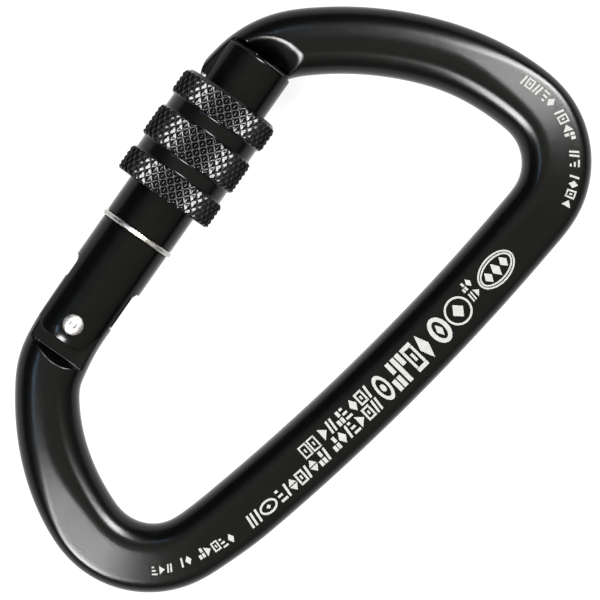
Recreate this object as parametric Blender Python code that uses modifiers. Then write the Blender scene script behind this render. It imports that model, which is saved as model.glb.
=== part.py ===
"""Locking carabiner: a large D-shaped screw-gate connector, lying flat.

Frame of the model: +X runs along the spine towards the nose end, +Y runs from the spine towards
the gate, +Z through the thickness. The origin is the middle of the whole object, on its mid-plane.

Gate frame: the origin is the hinge pin, +X runs along the gate from hinge to nose, +Y points out
of the loop, +Z is the model's +Z. Everything on the gate, and the cuts that meet it, use it.
"""

import math

import bmesh
import bpy

MM = 0.001

# ---------------------------------------------------------------- driving dimensions
PIN_X, PIN_Y = -29.28 * MM, 15.32 * MM
GATE_ANGLE = math.radians(11.0)
BARREL_OFFSET = 0.3 * MM              # barrel axis, measured out of the loop from the pin

# The bar's centreline starts inside the gate's fork and runs round the loop to the nose.
# Each stretch is (length mm, turn in degrees to the left, bar width mm at its start).
# These numbers weren't chosen by hand: a scratch program fitted them to the photo's outline and
# rounded them. Only the first length, the last row and the end width were set by hand.
TONGUE_REACH = 8.5 * MM               # where the centreline starts, on the gate frame's X
CENTRELINE = (
    (8.0, 0.0, 11.7),                 # hinge tongue
    (7.5, 11.8, 11.5),                # hinge shoulder
    (5.0, 21.0, 11.6),
    (24.0, 36.8, 10.8),               # side below the hinge
    (20.5, 89.0, 12.0),               # lower bend
    (11.0, 6.6, 11.3),
    (69.5, 10.0, 11.8),               # spine, bowed slightly outwards
    (20.5, 89.8, 11.6),               # upper bend
    (18.5, 25.0, 11.8),
    (22.5, 22.0, 11.3),               # top
    (12.0, 40.2, 11.3),               # nose shoulder
    (5.5, 0.0, 11.0),                 # nose
)
NOSE_END_WIDTH = 11.0
MAX_STEP = 5.0                        # longest step along the bar, mm
MAX_TURN = 7.6                        # largest turn of one step, degrees

# Bar section: a flat outer face that falls away from a narrow crest, and a round inner side
# that a rope bears on.
HALF_THICKNESS = 5.1 * MM
CLEAR = 12.0 * MM                     # how far cutters reach beyond the metal
INNER_ROLL = 4.1 * MM                 # from the crest land to the inner wall
CREST_LAND = 1.6 * MM                 # flat, square to Z
FACE_BLEND = 1.4 * MM                 # between the land and the sloping face
FACE_SLOPE = math.radians(9.0)
CORNER_ACROSS, CORNER_HEIGHT = 2.4 * MM, 3.6 * MM

# Hinge
TONGUE_HALF = 2.9 * MM                # half thickness, same for the nose blade
SLOT_HALF = 3.2 * MM                  # half width of the fork, same for the nose pocket
HINGE_FLOOR_END, HINGE_RIM = -5.6 * MM, -7.4 * MM
PIN_RADIUS, PIN_HOLE_RADIUS = 1.3 * MM, 1.6 * MM
HEAD_RADIUS, SPOTFACE_RADIUS = 1.6 * MM, 1.95 * MM
SPOTFACE_FLOOR = 5.5 * MM
HEAD_SEAT, HEAD_EDGE, HEAD_TOP = 5.8 * MM, 6.25 * MM, 6.6 * MM
CAM_RADIUS = 4.6 * MM                 # tongue edge under the pusher with the gate shut
CAM_RISE = 2.5 * MM                   # per radian of gate opening
CAM_ANGLES = (-22, -10, 0, 10, 20, 30, 40)
TONGUE_INNER = (2.6 * MM, -5.2 * MM)  # inner corner of the tongue's end
EAR_RADIUS = 8.5 * MM                 # outer corner of the tongue's end, about the pin
EAR_ANGLES = (24.0, 46.0)             # degrees from the gate's axis

# Nose
BLADE_TIP_RADIUS = 47.35 * MM         # about the pin, clear of the sleeve's rim as the gate swings
SHOULDER_RADIUS = 54.75 * MM          # about the pin, clear of the barrel's end
TRUNK_INNER = -0.7 * MM               # inner edge of the blade, on the gate frame's Y
TOE_INNER, TOE_TOP = -2.7 * MM, 49.2 * MM
BLADE_BACK = 7.95 * MM                # outer edge of the blade's end
BLADE_BACK_TOP = 49.7 * MM            # where that edge meets the full width of the bar
SCOOP_FLOOR_END, SCOOP_RIM = 56.7 * MM, 59.0 * MM

# Gate barrel
BARREL_END, BARREL_TOP = -3.5 * MM, 54.1 * MM
LOWER_RADIUS, UPPER_RADIUS = 6.3 * MM, 6.4 * MM
RING_POSITION, RING_CENTRE_RADIUS, RING_WIRE_RADIUS = 18.5 * MM, 6.3 * MM, 0.5 * MM
GROOVE_FLOOR_RADIUS, GROOVE_HALF = 5.5 * MM, 0.8 * MM
FORK_ROOT, FORK_FILLET = 10.0 * MM, 1.4 * MM
CHEEK_OUTER, CHEEK_OUTER_ROUND = 5.8 * MM, 2.5 * MM
CHEEK_INNER, CHEEK_INNER_ROUND = -4.0 * MM, 1.8 * MM
CHEEK_INNER_RUNOUT = (3.6 * MM, -5.3 * MM)
POCKET_BOTTOM, POCKET_LIP = 46.3 * MM, 49.6 * MM
POCKET_TRUNK_WALL, POCKET_TOE_WALL = -1.0 * MM, -3.0 * MM
BORE_RADIUS, BORE_END = 2.3 * MM, 31.0 * MM
TOP_ROUND = 0.8 * MM
END_CHAMFER = 0.4 * MM

# Locking sleeve, at rest part of the way up its thread
SLEEVE_START, SLEEVE_END = 25.8 * MM, 46.3 * MM
BAND_RADIUS, PLAIN_RADIUS, SLEEVE_BORE = 9.2 * MM, 8.45 * MM, 6.7 * MM
BANDS = ((25.8, 30.3), (32.8, 38.6), (41.3, 46.3))
BAND_CHAMFER, RIM_CHAMFER = 0.45 * MM, 0.9 * MM
COUNTERBORE_RADIUS, COUNTERBORE_DEPTH = 7.95 * MM, 6.7 * MM

# Spring and pusher, inside the barrel
PUSHER_TIP = CAM_RADIUS + 0.35 * MM
PUSHER_NOSE_RADIUS, PUSHER_COLLAR_RADIUS, PUSHER_STEM_RADIUS = 1.0 * MM, 1.95 * MM, 1.0 * MM
PUSHER_COLLAR = (11.6 * MM, 13.6 * MM)
PUSHER_STEM_END = 18.0 * MM
SPRING_START, SPRING_END = 14.25 * MM, 30.0 * MM
SPRING_RADIUS, SPRING_WIRE_RADIUS, SPRING_TURNS = 1.6 * MM, 0.3 * MM, 8

STEPS = 36                            # round turned pieces


# ---------------------------------------------------------------- scene and materials
def clear_scene():
    for obj in list(bpy.data.objects):
        bpy.data.objects.remove(obj, do_unlink=True)


def new_collection(name):
    collection = bpy.data.collections.new(name)
    bpy.context.scene.collection.children.link(collection)
    return collection


def metal(name, colour, roughness, metallic):
    material = bpy.data.materials.new(name)
    material.use_nodes = True
    shader = material.node_tree.nodes["Principled BSDF"]
    shader.inputs["Base Color"].default_value = (*colour, 1.0)
    shader.inputs["Roughness"].default_value = roughness
    shader.inputs["Metallic"].default_value = metallic
    return material


clear_scene()
PARTS = new_collection("locking_carabiner")
CUTTERS = new_collection("cutters")

gate_pivot = bpy.data.objects.new("gate_pivot", None)
gate_pivot.location = (PIN_X, PIN_Y, 0.0)
gate_pivot.rotation_euler = (0.0, 0.0, GATE_ANGLE)
PARTS.objects.link(gate_pivot)


# ---------------------------------------------------------------- general tools
def mesh_object(name, bm, collection, material=None):
    mesh = bpy.data.meshes.new(name)
    bm.to_mesh(mesh)
    bm.free()
    obj = bpy.data.objects.new(name, mesh)
    collection.objects.link(obj)
    if material:
        mesh.materials.append(material)
    return obj


def smooth(obj, degrees=30.0):
    obj.data.shade_smooth()
    obj.data.set_sharp_from_angle(angle=math.radians(degrees))


def curve_to_mesh(obj):
    """Replace a filled curve object by a closed mesh object of the same name and place."""
    bpy.context.view_layer.update()
    evaluated = obj.evaluated_get(bpy.context.evaluated_depsgraph_get())
    mesh = bpy.data.meshes.new_from_object(evaluated)
    bm = bmesh.new()
    bm.from_mesh(mesh)
    bmesh.ops.remove_doubles(bm, verts=bm.verts, dist=1e-6)
    bmesh.ops.recalc_face_normals(bm, faces=bm.faces)
    bm.to_mesh(mesh)
    bm.free()
    solid = bpy.data.objects.new(obj.name + "_solid", mesh)
    obj.users_collection[0].objects.link(solid)
    solid.parent = obj.parent
    solid.matrix_world = obj.matrix_world
    name = obj.name
    bpy.data.objects.remove(obj, do_unlink=True)
    solid.name = name
    return solid


def mark_cutter(obj):
    obj.hide_render = True
    obj.display_type = "WIRE"
    return obj


def plate_cutter(name, points, low, high, upright=False):
    """A cutter with a flat outline in the gate frame, solid from low to high.

    Flat cutters have an X-Y outline and run along Z; upright ones have an X-Z outline and run
    along Y.
    """
    curve = bpy.data.curves.new(name, "CURVE")
    curve.dimensions = "2D"
    curve.fill_mode = "BOTH"
    curve.extrude = (high - low) / 2
    spline = curve.splines.new("POLY")
    spline.points.add(len(points) - 1)
    for point, (a, b) in zip(spline.points, points):
        point.co = (a, b, 0.0, 1.0)
    spline.use_cyclic_u = True
    obj = bpy.data.objects.new(name, curve)
    CUTTERS.objects.link(obj)
    obj.parent = gate_pivot
    middle = (high + low) / 2
    if upright:
        obj.rotation_euler = (math.pi / 2, 0.0, 0.0)
        obj.location = (0.0, middle, 0.0)
    else:
        obj.location = (0.0, 0.0, middle)
    return mark_cutter(curve_to_mesh(obj))


def round_cutter(name, radius, low, high):
    """A cylinder on the hinge pin's axis, from low to high along Z."""
    bm = bmesh.new()
    bmesh.ops.create_cone(
        bm, cap_ends=True, segments=24, radius1=radius, radius2=radius, depth=high - low)
    obj = mesh_object(name, bm, CUTTERS)
    obj.parent = gate_pivot
    obj.location = (0.0, 0.0, (high + low) / 2)
    return mark_cutter(obj)


def cut(obj, cutter):
    modifier = obj.modifiers.new(cutter.name, "BOOLEAN")
    modifier.operation = "DIFFERENCE"
    modifier.solver = "EXACT"
    modifier.object = cutter


def arc(centre, radius, start, end, steps):
    """Points of an arc in a plane, angles in degrees from the plane's first axis."""
    points = []
    for i in range(steps + 1):
        angle = math.radians(start + (end - start) * i / steps)
        points.append((centre[0] + radius * math.cos(angle), centre[1] + radius * math.sin(angle)))
    return points


def turned(name, profile, material, collection, steps=STEPS, closed=False):
    """A solid of revolution about its own Z; profile is (radius, height), top to bottom."""
    bm = bmesh.new()
    verts = [bm.verts.new((radius, 0.0, height)) for radius, height in profile]
    for first, second in zip(verts, verts[1:]):
        bm.edges.new((first, second))
    if closed:
        bm.edges.new((verts[-1], verts[0]))
    obj = mesh_object(name, bm, collection, material)
    screw = obj.modifiers.new("turn", "SCREW")
    screw.axis = "Z"
    screw.angle = 2 * math.pi
    screw.steps = steps
    screw.render_steps = steps
    screw.use_merge_vertices = True
    screw.merge_threshold = 0.00001
    screw.use_smooth_shade = True
    return obj


def on_barrel_axis(obj):
    """Hang a piece on the gate with its own Z along the barrel."""
    obj.parent = gate_pivot
    obj.location = (0.0, BARREL_OFFSET, 0.0)
    obj.rotation_euler = (0.0, math.pi / 2, 0.0)


# ---------------------------------------------------------------- the bar
def centreline_stations():
    """(x, y, heading, width) along the bar in the model's frame, hinge tongue to nose."""
    axis = (math.cos(GATE_ANGLE), math.sin(GATE_ANGLE))
    x = PIN_X + TONGUE_REACH * axis[0] - BARREL_OFFSET * axis[1]
    y = PIN_Y + TONGUE_REACH * axis[1] + BARREL_OFFSET * axis[0]
    heading = GATE_ANGLE + math.pi
    widths = [width for _, _, width in CENTRELINE] + [NOSE_END_WIDTH]
    stations = [(x, y, heading, widths[0] * MM)]
    for index, (length, turn, _) in enumerate(CENTRELINE):
        steps = max(1, math.ceil(length / MAX_STEP), math.ceil(turn / MAX_TURN))
        half_turn = math.radians(turn) / steps / 2
        arc_step = length * MM / steps
        chord = arc_step * math.sin(half_turn) / half_turn if turn else arc_step
        for step in range(1, steps + 1):
            heading += half_turn
            x += chord * math.cos(heading)
            y += chord * math.sin(heading)
            heading += half_turn
            share = step / steps
            ease = share * share * (3 - 2 * share)
            width = widths[index] + (widths[index + 1] - widths[index]) * ease
            stations.append((x, y, heading, width * MM))
    return stations


def bar_section(width, corner_steps=4, roll_steps=5):
    """(across, height) points of the whole section, across is positive into the loop."""
    outer, inner = -width / 2, width / 2
    land_inner = inner - INNER_ROLL
    land_outer = land_inner - CREST_LAND
    blend_end = land_outer - FACE_BLEND
    blend_drop = FACE_BLEND * math.tan(FACE_SLOPE) / 2
    steepest = math.atan2(CORNER_HEIGHT, CORNER_ACROSS * math.tan(FACE_SLOPE))
    corner_x = outer + CORNER_ACROSS
    face_end = corner_x - CORNER_ACROSS * math.cos(steepest)
    face_height = HALF_THICKNESS - blend_drop - (blend_end - face_end) * math.tan(FACE_SLOPE)
    corner_z = face_height - CORNER_HEIGHT * math.sin(steepest)
    half = []
    for i in range(corner_steps + 1):
        angle = steepest * i / corner_steps
        across = corner_x - CORNER_ACROSS * math.cos(angle)
        half.append((across, corner_z + CORNER_HEIGHT * math.sin(angle)))
    half.append((blend_end, HALF_THICKNESS - blend_drop))
    half.append((land_outer, HALF_THICKNESS))
    for i in range(roll_steps):
        angle = math.pi / 2 * i / roll_steps
        half.append((land_inner + INNER_ROLL * math.sin(angle), HALF_THICKNESS * math.cos(angle)))
    below = [(across, -height) for across, height in reversed(half)]
    return half + [(inner, 0.0)] + below


def make_body(material):
    """Sweep the section along the centreline, then mill the tongue and the nose."""
    bm = bmesh.new()
    rings = []
    for x, y, heading, width in centreline_stations():
        inward = (-math.sin(heading), math.cos(heading))
        ring = []
        for across, height in bar_section(width):
            ring.append(bm.verts.new((x + inward[0] * across, y + inward[1] * across, height)))
        rings.append(ring)
    count = len(rings[0])
    for ring, following in zip(rings, rings[1:]):
        for i in range(count):
            j = (i + 1) % count
            bm.faces.new((ring[i], ring[j], following[j], following[i]))
    bm.faces.new(rings[0])
    bm.faces.new(rings[-1])
    bmesh.ops.recalc_face_normals(bm, faces=bm.faces)
    body = mesh_object("body", bm, PARTS, material)
    smooth(body)
    for cutter in hinge_cutters() + nose_cutters():
        cut(body, cutter)
    return body


def step_outline(floor_end, rim, floor, far_end):
    """X-Z outline of a milled step: a floor, then a ramp that leaves the bar at its crest."""
    slope = (HALF_THICKNESS - floor) / (rim - floor_end)
    ramp_end = floor_end + (CLEAR - floor) / slope
    return [(far_end, floor), (floor_end, floor), (ramp_end, CLEAR), (far_end, CLEAR)]


def mirrored(points):
    return [(a, -b) for a, b in points]


def hinge_cutters():
    """Cheeks, cam edge and pin hole of the hinge tongue."""
    step = step_outline(HINGE_FLOOR_END, HINGE_RIM, TONGUE_HALF, CLEAR)
    cam = []
    for degrees in reversed(CAM_ANGLES):
        angle = math.radians(degrees)
        radius = CAM_RADIUS + CAM_RISE * angle
        cam.append((radius * math.cos(angle), -radius * math.sin(angle)))
    ear = arc((0.0, 0.0), EAR_RADIUS, *EAR_ANGLES, 5)
    edge = [(TONGUE_INNER[0], -CLEAR), TONGUE_INNER] + cam + ear
    edge += [(ear[-1][0], CLEAR), (CLEAR, CLEAR), (CLEAR, -CLEAR)]
    return [
        plate_cutter("cheek_cut_front", step, -CLEAR, CLEAR, upright=True),
        plate_cutter("cheek_cut_back", mirrored(step), -CLEAR, CLEAR, upright=True),
        plate_cutter("tongue_edge_cut", edge, -CLEAR, CLEAR),
        round_cutter("tongue_pin_hole", PIN_HOLE_RADIUS, -CLEAR, CLEAR),
    ]


def nose_cutters():
    """Scoops on both faces, the hooked blade's outline and room for the barrel's end."""
    side = CLEAR + 2.0 * MM
    below_tip = 36.0 * MM
    before_toe = 44.0 * MM
    step = step_outline(SCOOP_FLOOR_END, SCOOP_RIM, TONGUE_HALF, below_tip)
    back_angle = math.degrees(math.asin(BLADE_BACK / BLADE_TIP_RADIUS)) - 1.0
    tip = arc((0.0, 0.0), BLADE_TIP_RADIUS, -8.0, back_angle, 6)
    tip += [(BLADE_BACK_TOP, BLADE_BACK), (BLADE_BACK_TOP, side)]
    tip += [(below_tip, side), (below_tip, -side)]
    trunk_angle = math.degrees(TRUNK_INNER / SHOULDER_RADIUS)
    shoulder = arc((0.0, 0.0), SHOULDER_RADIUS, -13.0, trunk_angle, 5)
    room = shoulder + [(TOE_TOP, TRUNK_INNER), (TOE_TOP, TOE_INNER), (before_toe, TOE_INNER)]
    room += [(before_toe, -CLEAR)]
    return [
        plate_cutter("nose_cut_front", step, -side, side, upright=True),
        plate_cutter("nose_cut_back", mirrored(step), -side, side, upright=True),
        plate_cutter("blade_tip_cut", tip, -CLEAR, CLEAR),
        plate_cutter("barrel_room_cut", room, -CLEAR, CLEAR),
    ]


# ---------------------------------------------------------------- the gate
def barrel_profile():
    """(radius, distance from the pin) from the nose end down to the fork's end."""
    groove_top, groove_bottom = RING_POSITION + GROOVE_HALF, RING_POSITION - GROOVE_HALF
    round_centre = (UPPER_RADIUS - TOP_ROUND, BARREL_TOP - TOP_ROUND)
    top = list(reversed(arc(round_centre, TOP_ROUND, 0.0, 90.0, 3)))
    return [(0.0, BARREL_TOP)] + top + [
        (UPPER_RADIUS, groove_top),
        (GROOVE_FLOOR_RADIUS, groove_top),
        (GROOVE_FLOOR_RADIUS, groove_bottom),
        (LOWER_RADIUS, groove_bottom),
        (LOWER_RADIUS, BARREL_END + END_CHAMFER),
        (LOWER_RADIUS - END_CHAMFER, BARREL_END),
        (0.0, BARREL_END),
    ]


def fork_cutters():
    """The slot for the tongue, the rounded cheek ends and the pin's holes."""
    below = BARREL_END - 3.0 * MM
    fillet_start = FORK_ROOT - FORK_FILLET
    upper = arc((fillet_start, SLOT_HALF - FORK_FILLET), FORK_FILLET, 90.0, 0.0, 3)
    lower = arc((fillet_start, FORK_FILLET - SLOT_HALF), FORK_FILLET, 0.0, -90.0, 3)
    slot = [(below, SLOT_HALF)] + upper + lower + [(below, -SLOT_HALF)]

    outer_centre = (BARREL_END + CHEEK_OUTER_ROUND, CHEEK_OUTER - CHEEK_OUTER_ROUND)
    outer = arc(outer_centre, CHEEK_OUTER_ROUND, 180.0, 90.0, 4)
    outer += [(outer_centre[0] + 0.6 * MM, CHEEK_OUTER + 0.6 * MM), (outer_centre[0], CLEAR)]
    outer += [(below, CLEAR), (below, outer_centre[1])]

    inner_centre = (BARREL_END + CHEEK_INNER_ROUND, CHEEK_INNER + CHEEK_INNER_ROUND)
    inner = arc(inner_centre, CHEEK_INNER_ROUND, 180.0, 258.0, 4)
    inner += [CHEEK_INNER_RUNOUT, (CHEEK_INNER_RUNOUT[0], -CLEAR)]
    inner += [(below, -CLEAR), (below, inner_centre[1])]
    return [
        plate_cutter("fork_slot", slot, -CLEAR, CLEAR, upright=True),
        plate_cutter("cheek_round_outer", outer, -CLEAR, CLEAR),
        plate_cutter("cheek_round_inner", inner, -CLEAR, CLEAR),
        round_cutter("gate_pin_hole", PIN_HOLE_RADIUS, -CLEAR, CLEAR),
        round_cutter("rivet_seat_front", SPOTFACE_RADIUS, SPOTFACE_FLOOR, CLEAR),
        round_cutter("rivet_seat_back", SPOTFACE_RADIUS, -CLEAR, -SPOTFACE_FLOOR),
    ]


def pocket_cutter():
    """The blind pocket for the hooked blade, open to the outside and at the top."""
    above = BARREL_TOP + CLEAR
    outline = [
        (POCKET_BOTTOM, CLEAR),
        (POCKET_BOTTOM, POCKET_TOE_WALL),
        (POCKET_LIP, POCKET_TOE_WALL),
        (POCKET_LIP, POCKET_TRUNK_WALL),
        (above, POCKET_TRUNK_WALL),
        (above, CLEAR),
    ]
    return plate_cutter("nose_pocket", outline, -SLOT_HALF, SLOT_HALF)


def spring_bore_cutter():
    start = FORK_ROOT - 2.0 * MM
    drill_point = BORE_END + 1.3 * MM
    profile = [(0.0, drill_point), (BORE_RADIUS, BORE_END), (BORE_RADIUS, start), (0.0, start)]
    cutter = turned("spring_bore", profile, None, CUTTERS, steps=20)
    on_barrel_axis(cutter)
    return mark_cutter(cutter)


def make_gate(material):
    gate = turned("gate", barrel_profile(), material, PARTS)
    on_barrel_axis(gate)
    for cutter in fork_cutters() + [pocket_cutter(), spring_bore_cutter()]:
        cut(gate, cutter)
    return gate


def make_rivet(material):
    """Hinge pin with a domed head at each end."""
    head = [
        (0.0, HEAD_TOP - 0.12 * MM),
        (0.45 * MM, HEAD_TOP),
        (1.0 * MM, HEAD_TOP - 0.06 * MM),
        (HEAD_RADIUS - 0.1 * MM, HEAD_EDGE),
        (HEAD_RADIUS, HEAD_EDGE - 0.15 * MM),
        (HEAD_RADIUS, HEAD_SEAT),
        (PIN_RADIUS, HEAD_SEAT),
    ]
    profile = head + mirrored(reversed(head))
    rivet = turned("hinge_rivet", profile, material, PARTS, steps=24)
    rivet.parent = gate_pivot
    return rivet


def make_stop_ring(material):
    """Round wire in the barrel's groove, split at the back."""
    gap = math.radians(9.0)
    points = 34
    curve = bpy.data.curves.new("stop_ring", "CURVE")
    curve.dimensions = "3D"
    curve.bevel_depth = RING_WIRE_RADIUS
    curve.bevel_resolution = 2
    curve.use_fill_caps = True
    spline = curve.splines.new("POLY")
    spline.points.add(points - 1)
    for i, point in enumerate(spline.points):
        angle = gap / 2 + (2 * math.pi - gap) * i / (points - 1)
        x, y = RING_CENTRE_RADIUS * math.cos(angle), RING_CENTRE_RADIUS * math.sin(angle)
        point.co = (x, y, RING_POSITION, 1.0)
    curve.materials.append(material)
    ring = bpy.data.objects.new("stop_ring", curve)
    PARTS.objects.link(ring)
    on_barrel_axis(ring)
    return ring


def sleeve_profile():
    """Closed (radius, distance from the pin) outline: bands, grooves, bore and counterbore."""
    outside = []
    for low, high in reversed(BANDS):
        low, high = low * MM, high * MM
        top_chamfer = BAND_CHAMFER
        if high >= SLEEVE_END:
            top_chamfer = RIM_CHAMFER
        else:
            outside.append((PLAIN_RADIUS, high))
        outside.append((BAND_RADIUS - top_chamfer, high))
        outside.append((BAND_RADIUS, high - top_chamfer))
        outside.append((BAND_RADIUS, low + BAND_CHAMFER))
        outside.append((BAND_RADIUS - BAND_CHAMFER, low))
        if low > SLEEVE_START:
            outside.append((PLAIN_RADIUS, low))
    step = SLEEVE_END - COUNTERBORE_DEPTH
    inside = [
        (SLEEVE_BORE + 0.3 * MM, SLEEVE_START),
        (SLEEVE_BORE, SLEEVE_START + 0.3 * MM),
        (SLEEVE_BORE, step - 0.6 * MM),
        (COUNTERBORE_RADIUS, step),
        (COUNTERBORE_RADIUS, SLEEVE_END),
    ]
    return outside + inside


def make_sleeve(material):
    sleeve = turned("locking_sleeve", sleeve_profile(), material, PARTS, closed=True)
    on_barrel_axis(sleeve)
    return sleeve


def make_pusher(material):
    """Plunger whose rounded tip rides on the tongue's cam edge."""
    collar_low, collar_high = PUSHER_COLLAR
    tip = arc((0.0, PUSHER_TIP + PUSHER_NOSE_RADIUS), PUSHER_NOSE_RADIUS, 0.0, -90.0, 3)
    profile = [
        (0.0, PUSHER_STEM_END),
        (PUSHER_STEM_RADIUS - 0.3 * MM, PUSHER_STEM_END),
        (PUSHER_STEM_RADIUS, PUSHER_STEM_END - 0.4 * MM),
        (PUSHER_STEM_RADIUS, collar_high),
        (PUSHER_COLLAR_RADIUS, collar_high),
        (PUSHER_COLLAR_RADIUS, collar_low),
        (PUSHER_NOSE_RADIUS, collar_low - 0.9 * MM),
    ] + tip
    pusher = turned("spring_pusher", profile, material, PARTS, steps=20)
    on_barrel_axis(pusher)
    return pusher


def make_spring(material):
    """Compression spring between the pusher's collar and the end of the bore."""
    per_turn = 12
    count = SPRING_TURNS * per_turn
    curve = bpy.data.curves.new("gate_spring", "CURVE")
    curve.dimensions = "3D"
    curve.bevel_depth = SPRING_WIRE_RADIUS
    curve.bevel_resolution = 1
    curve.use_fill_caps = True
    spline = curve.splines.new("POLY")
    spline.points.add(count)
    for i, point in enumerate(spline.points):
        angle = 2 * math.pi * i / per_turn
        height = SPRING_START + (SPRING_END - SPRING_START) * i / count
        point.co = (SPRING_RADIUS * math.cos(angle), SPRING_RADIUS * math.sin(angle), height, 1.0)
    curve.materials.append(material)
    spring = bpy.data.objects.new("gate_spring", curve)
    PARTS.objects.link(spring)
    on_barrel_axis(spring)
    return spring


# ---------------------------------------------------------------- the assembly
satin_black = metal("satin_black_anodised", (0.016, 0.016, 0.015), 0.38, 0.6)
turned_black = metal("turned_black_anodised", (0.017, 0.018, 0.019), 0.28, 0.6)
knurled_black = metal("knurled_black_anodised", (0.03, 0.03, 0.03), 0.3, 0.7)
bright_steel = metal("bright_steel", (0.72, 0.70, 0.67), 0.2, 1.0)
spring_steel = metal("spring_steel", (0.5, 0.5, 0.5), 0.3, 1.0)
pusher_steel = metal("pusher_steel", (0.45, 0.45, 0.46), 0.35, 1.0)

make_body(satin_black)
make_gate(turned_black)
make_rivet(bright_steel)
make_stop_ring(bright_steel)
make_sleeve(knurled_black)
make_pusher(pusher_steel)
make_spring(spring_steel)
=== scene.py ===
"""Looks of a black locking carabiner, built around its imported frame.

Every CAD node but the pusher gets a finer piece of the same size and place that stands for it.
The printed marks are a piece of their own. The gate frame has its origin on the hinge pin, +X
along the gate towards the nose, +Y out of the loop and +Z up. Lengths are in millimetres until a
mesh is made, but the studio and the camera are in metres.
"""

import math

import bmesh
import bpy
import numpy as np
from mathutils import Matrix, Vector


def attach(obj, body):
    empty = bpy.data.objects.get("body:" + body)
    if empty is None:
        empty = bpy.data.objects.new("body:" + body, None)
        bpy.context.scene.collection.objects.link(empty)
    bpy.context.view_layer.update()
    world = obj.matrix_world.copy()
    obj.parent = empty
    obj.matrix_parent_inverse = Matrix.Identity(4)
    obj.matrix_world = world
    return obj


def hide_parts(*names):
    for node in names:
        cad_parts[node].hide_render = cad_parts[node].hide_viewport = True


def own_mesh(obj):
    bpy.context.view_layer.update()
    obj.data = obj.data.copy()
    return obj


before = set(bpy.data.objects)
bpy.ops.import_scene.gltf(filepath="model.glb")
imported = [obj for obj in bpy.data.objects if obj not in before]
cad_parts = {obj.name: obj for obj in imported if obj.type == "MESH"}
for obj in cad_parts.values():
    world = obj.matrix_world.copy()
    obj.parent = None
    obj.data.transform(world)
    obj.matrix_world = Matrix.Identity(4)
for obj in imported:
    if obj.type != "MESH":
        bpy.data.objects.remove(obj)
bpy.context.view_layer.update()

MM = 0.001

# ---------------------------------------------------------------- driving dimensions, mm
PIN = (-29.28, 15.32)
GATE_ANGLE = math.radians(11.0)
BARREL_OFFSET = 0.3
HALF = 5.1                            # half thickness of the bar
BLADE_HALF = 2.9                      # half thickness of the hinge tongue and the nose blade
SLOT_HALF = 3.2                       # half width of the fork's slot and the nose pocket
CUTTER_REACH = 12.0                   # how far cutters reach beyond the metal

# Stretches of the bar from hinge to nose: length, turn in degrees to the left, width at its start.
# These numbers weren't chosen by hand: a scratch program fitted them to the photo's outline and
# rounded them. Set by hand: the first row's length and turn, the width of the row before the last,
# the whole last row, the end width, and 0.01 off the widths that end in 9.
TONGUE_REACH = 8.5                    # where the first stretch starts, along the gate from the pin
CENTRELINE = (
    (8.0, 0.0, 11.7),
    (7.5, 11.8, 11.5),
    (5.0, 21.0, 11.6),
    (24.0, 36.8, 10.8),
    (20.5, 89.0, 12.0),
    (11.0, 6.6, 11.29),
    (69.5, 10.0, 11.79),
    (20.5, 89.8, 11.59),
    (18.5, 25.0, 11.8),
    (22.5, 22.0, 11.3),
    (12.0, 40.2, 11.3),
    (6.3, 0.0, 11.0),
)
END_WIDTH = 11.0
STATION_STEP = 0.1                    # between the stations of the bar
BEND_BLUR = 2.0                       # how far the joins of the stretches are smoothed

# The bar is rounded over near its ends, and has a wide sloping face between these lengths
FACE_OPENS, FACE_CLOSES = (30.0, 46.0), (162.0, 183.0)
FACE_SLOPE = math.radians(9.0)
# (rounded, faced) sizes: outer corner across and high, flat crest, its blend, and inner roll
CORNER_ACROSS, CORNER_HEIGHT = (4.6, 2.2), (4.6, 3.4)
CREST_LAND, FACE_BLEND, INNER_ROLL = (1.3, 0.15), (1.3, 1.0), (4.1, 3.8)

# hinge
HINGE_FLOOR_END, HINGE_RIM = -5.6, -7.1
HINGE_RIM_RADIUS, HINGE_RIM_Y = 10.3, -0.3
HINGE_SHORTEST_RAMP = 0.35
HINGE_CUT_END = 12.0                  # the bar is milled for the hinge up to here
PIN_HOLE = 1.6
CAM_RADIUS, CAM_RISE = 4.6, 2.5       # the rise is per radian
EAR_RADIUS = 8.5
HEAD_RADIUS, SEAT_RADIUS, SEAT_FLOOR = 1.8, 1.95, 5.5

# nose
NOSE_CUT_START = 36.0                 # the bar is milled for the nose from here
MILLED_INNER = -14.0                  # nothing is milled further into the loop than this
SCOOP_CENTRE, SCOOP_AXES = (52.4, -2.6), (6.5, 8.0)
SCOOP_SLOPE, SCOOP_FLOOR = 0.86, 1.6
SCOOP_WALL_SLOPE = 2.2                # of the wall that the barrel's end faces
BLADE_TIP_RADIUS, SHOULDER_RADIUS = 47.35, 54.45
TRUNK_INNER, TOE_INNER, TOE_TOP = -0.7, -2.7, 49.2
TOE_START = 44.0
BLADE_BACK_CENTRE, BLADE_BACK_RADIUS, BLADE_BACK_END = (50.2, -1.5), 9.1, 50.9

# gate barrel
BARREL_END, BARREL_TOP = -3.5, 54.1
FORK_TAPER = (2.2, 0.6)               # of the fork's end, along and across
LOWER_RADIUS, UPPER_RADIUS = 6.3, 6.4
RING_POSITION, RING_RADIUS, WIRE_RADIUS = 18.5, 6.3, 0.48
FORK_ROOT, FORK_FILLET = 10.0, 1.4
CHEEK_OUTER, CHEEK_OUTER_ROUND = 5.8, 2.5
CHEEK_INNER, CHEEK_INNER_ROUND = -4.0, 1.8
POCKET_BOTTOM, POCKET_LIP = 46.3, 49.6
POCKET_TRUNK_WALL, POCKET_TOE_WALL = -1.0, -3.0
BORE_RADIUS, BORE_END = 2.3, 31.0

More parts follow.
